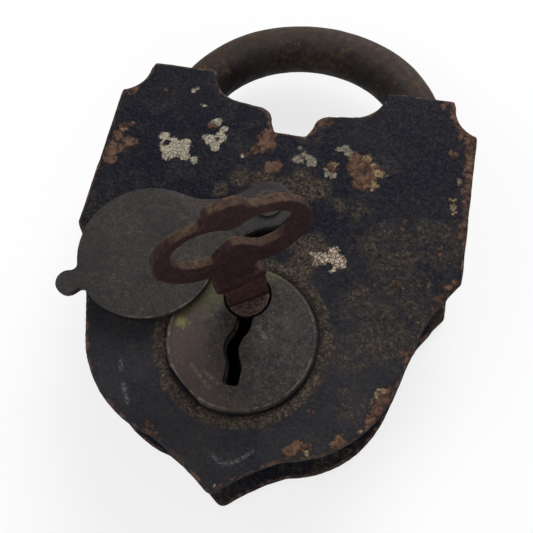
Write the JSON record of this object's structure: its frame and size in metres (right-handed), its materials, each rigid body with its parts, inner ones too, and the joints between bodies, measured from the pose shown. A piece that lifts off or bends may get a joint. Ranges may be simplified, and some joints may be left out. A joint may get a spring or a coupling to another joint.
{
  "type": "lever padlock",
  "caption": "Old iron lever padlock with a shield-shaped case, round hinged shackle, swinging keyhole cover and its key left in the lock.",
  "frame": {"origin": "on the outer face of the back plate, on the case's centre line at its widest, level with the two side corners", "axes": "+Z out of the front plate, +Y towards the shackle's bow, +X to the right as the keyhole is faced"},
  "size_m": [0.0803, 0.1146, 0.0634],
  "materials": {
    "black_japan": "worn black-blue japanned iron with rust spots and chipped pale flecks",
    "boss_iron": "bare brown-grey iron, dull and scuffed",
    "shackle_iron": "dark brown iron worn lighter along the bow",
    "key_rust": "red-brown rusted iron",
    "inner_iron": "dark oxidised iron",
    "spring_iron": "dull spring steel"
  },
  "bodies": {
    "case": {"back_plate": "black_japan", "case_rim": "black_japan", "top_rim": "black_japan", "front_plate": "black_japan", "case_rivets": "inner_iron", "keyhole_boss": "boss_iron", "cover_spacer": "inner_iron", "cover_rivet": "boss_iron", "shackle_rivet": "shackle_iron", "drill_pin": "inner_iron", "ward_ring": "inner_iron", "latch_post": "inner_iron", "stop_pin": "inner_iron", "spring_post": "inner_iron", "toe_block": "inner_iron", "latch_spring": "spring_iron", "tumbler_spring_1": "spring_iron", "tumbler_spring_2": "spring_iron", "tumbler_spring_3": "spring_iron"},
    "shackle": {"shackle": "shackle_iron"},
    "cover": {"drop_cover": "boss_iron"},
    "key": {"key": "key_rust"},
    "latch": {"latch_lever": "inner_iron"},
    "tumbler_a": {"tumbler_1": "inner_iron"},
    "tumbler_b": {"tumbler_2": "inner_iron"},
    "tumbler_c": {"tumbler_3": "inner_iron"}
  },
  "joints": [
    {"name": "shackle_hinge", "type": "hinge", "parent": "case", "child": "shackle", "pos_m": [0.03, 0.0317, 0.01125], "axis": [0, 0, 1], "range_deg": [-70, 0]},
    {"name": "cover_swing", "type": "hinge", "parent": "case", "child": "cover", "pos_m": [-0.0006, 0.0088, 0.0255], "axis": [0, 0, 1], "range_deg": [-245, 6]},
    {"name": "key_turn", "type": "hinge", "parent": "case", "child": "key", "pos_m": [-0.00095, -0.01065, 0.0103], "axis": [0, 0, 1], "range_deg": [0, 58]},
    {"name": "latch_swing", "type": "hinge", "parent": "case", "child": "latch", "pos_m": [-0.019, 0.008, 0.0105], "axis": [0, 0, 1], "range_deg": [0, 12], "deforming": ["latch_spring"]},
    {"name": "tumbler_swing_1", "type": "hinge", "parent": "case", "child": "tumbler_a", "pos_m": [-0.019, 0.008, 0.0058], "axis": [0, 0, 1], "range_deg": [0, 9], "deforming": ["tumbler_spring_1"]},
    {"name": "tumbler_swing_2", "type": "hinge", "parent": "case", "child": "tumbler_b", "pos_m": [-0.019, 0.008, 0.0077], "axis": [0, 0, 1], "range_deg": [0, 10], "deforming": ["tumbler_spring_2"]},
    {"name": "tumbler_swing_3", "type": "hinge", "parent": "case", "child": "tumbler_c", "pos_m": [-0.019, 0.008, 0.0138], "axis": [0, 0, 1], "range_deg": [0, 8], "deforming": ["tumbler_spring_3"]}
  ],
  "couplings": [
    {"joint": "latch_swing", "follows": "key_turn", "ratio": 0.2},
    {"joint": "tumbler_swing_1", "follows": "key_turn", "ratio": 0.15},
    {"joint": "tumbler_swing_2", "follows": "key_turn", "ratio": 0.165},
    {"joint": "tumbler_swing_3", "follows": "key_turn", "ratio": 0.13}
  ]
}
